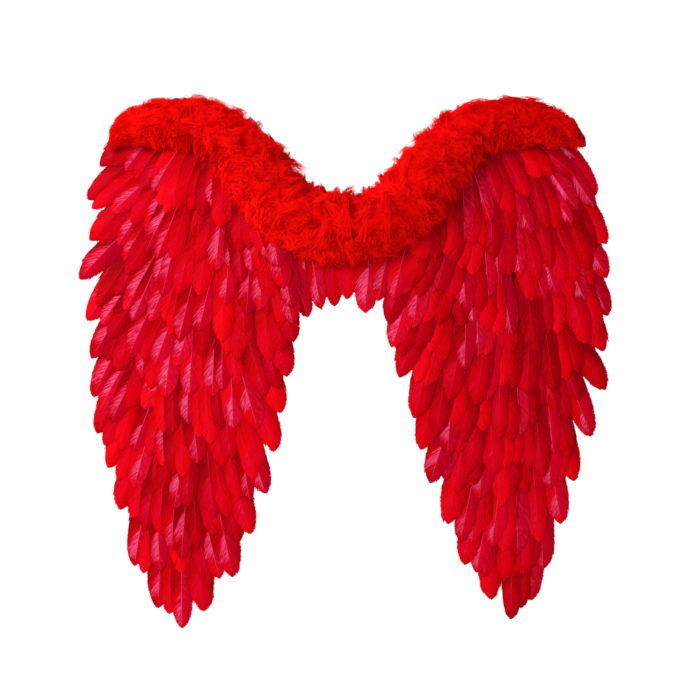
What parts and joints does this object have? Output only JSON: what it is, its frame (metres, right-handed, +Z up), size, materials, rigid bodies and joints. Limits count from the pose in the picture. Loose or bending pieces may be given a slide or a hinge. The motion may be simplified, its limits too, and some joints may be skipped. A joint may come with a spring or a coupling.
{
  "type": "feathered costume wings",
  "caption": "Feathered costume wings: overlapping rows of feathers on felt panels, a fluffy boa along the top edge and elastic arm loops at the back.",
  "frame": {"origin": "middle of the back of the joining band, where the wings lie on the wearer's back", "axes": "+X to the right as seen from the feather side, +Y towards the wearer, with the feathers facing -Y, and +Z up"},
  "size_m": [0.6548, 0.1898, 0.6515],
  "materials": {
    "felt": "matte red felt",
    "feather": "dyed red feather with a soft pinkish sheen",
    "down": "fluffy dyed red marabou down",
    "elastic": "woven red elastic"
  },
  "bodies": {
    "root": {"centre_band": "felt", "wing_panel_left": "felt", "wing_panel_right": "felt", "centre_feathers": "feather", "feathers_left_01": "feather", "feathers_left_02": "feather", "feathers_left_03": "feather", "feathers_left_04": "feather", "feathers_left_05": "feather", "feathers_left_06": "feather", "feathers_left_07": "feather", "feathers_left_08": "feather", "feathers_left_09": "feather", "feathers_left_10": "feather", "feathers_left_11": "feather", "feathers_left_12": "feather", "feathers_right_01": "feather", "feathers_right_02": "feather", "feathers_right_03": "feather", "feathers_right_04": "feather", "feathers_right_05": "feather", "feathers_right_06": "feather", "feathers_right_07": "feather", "feathers_right_08": "feather", "feathers_right_09": "feather", "feathers_right_10": "feather", "feathers_right_11": "feather", "feathers_right_12": "feather", "boa_left": "down", "boa_right": "down", "strap_left": "elastic", "strap_right": "elastic"}
  },
  "joints": []
}
